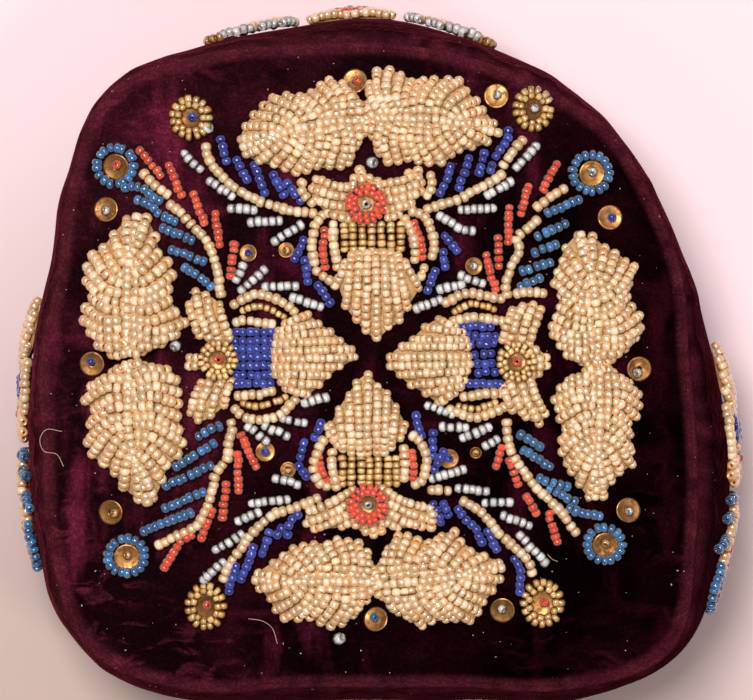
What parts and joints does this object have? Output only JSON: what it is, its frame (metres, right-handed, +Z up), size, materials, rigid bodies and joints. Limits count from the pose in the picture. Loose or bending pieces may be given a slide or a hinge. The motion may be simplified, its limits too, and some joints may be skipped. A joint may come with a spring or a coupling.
{
  "type": "beaded velvet smoking cap",
  "caption": "Round-cornered velvet pillbox cap, open below, with raised glass beadwork in leaves, flowers and sprays on its crown and band.",
  "frame": {"origin": "on the resting surface, under the middle of the whole cap", "axes": "+Z up out of the crown, +X to the right and +Y away from the wearer when the crown is seen from above"},
  "size_m": [0.1876, 0.1814, 0.0838],
  "materials": {
    "velvet": "crushed dark plum pile",
    "cream_beads": "glossy, lined with cream",
    "light_blue_beads": "glossy, clear over a light blue lining",
    "coral_beads": "glossy, clear over a coral lining",
    "cobalt_beads": "glossy, opaque",
    "clear_beads": "glossy, silvery clear",
    "amber_beads": "glossy, transparent",
    "gold_beads": "glossy, foil lined",
    "brass": "tarnished, pressed thin"
  },
  "bodies": {
    "root": {"crown_panel": "velvet", "side_band": "velvet", "leaf_top_left": "cream_beads", "leaf_top_right": "cream_beads", "leaf_left_upper": "cream_beads", "leaf_left_lower": "cream_beads", "leaf_bottom_left": "cream_beads", "leaf_bottom_right": "cream_beads", "leaf_right_upper": "cream_beads", "leaf_right_lower": "cream_beads", "bud_top": "cream_beads", "block_top": "gold_beads", "flower_top": "cream_beads", "bud_left": "cream_beads", "block_left": "cobalt_beads", "flower_left": "cream_beads", "bud_bottom": "cream_beads", "block_bottom": "gold_beads", "flower_bottom": "cream_beads", "bud_right": "cream_beads", "block_right": "cobalt_beads", "flower_right": "cream_beads", "spray_upper_left_blue": "cream_beads", "spray_upper_left_amber": "cream_beads", "spray_upper_right_amber": "cream_beads", "spray_upper_right_blue": "cream_beads", "spray_lower_right_blue": "cream_beads", "spray_lower_right_amber": "cream_beads", "spray_lower_left_amber": "cream_beads", "spray_lower_left_blue": "cream_beads", "rosette_left_upper": "light_blue_beads", "rosette_top_left": "amber_beads", "rosette_top_right": "amber_beads", "rosette_right_upper": "light_blue_beads", "rosette_right_lower": "light_blue_beads", "rosette_bottom_right": "amber_beads", "rosette_bottom_left": "amber_beads", "rosette_left_lower": "light_blue_beads", "sequin_1": "brass", "sequin_2": "brass", "sequin_3": "brass", "sequin_4": "brass", "sequin_5": "brass", "sequin_6": "brass", "sequin_7": "brass", "sequin_8": "brass", "sequin_9": "brass", "sequin_10": "brass", "band_flower_right": "cream_beads", "band_spray_right_a": "cream_beads", "band_spray_right_b": "cream_beads", "band_flower_back": "cream_beads", "band_spray_back_a": "cream_beads", "band_spray_back_b": "cream_beads", "band_flower_left": "cream_beads", "band_spray_left_a": "cream_beads", "band_spray_left_b": "cream_beads", "band_flower_front": "cream_beads", "band_spray_front_a": "cream_beads", "band_spray_front_b": "cream_beads"}
  },
  "joints": []
}
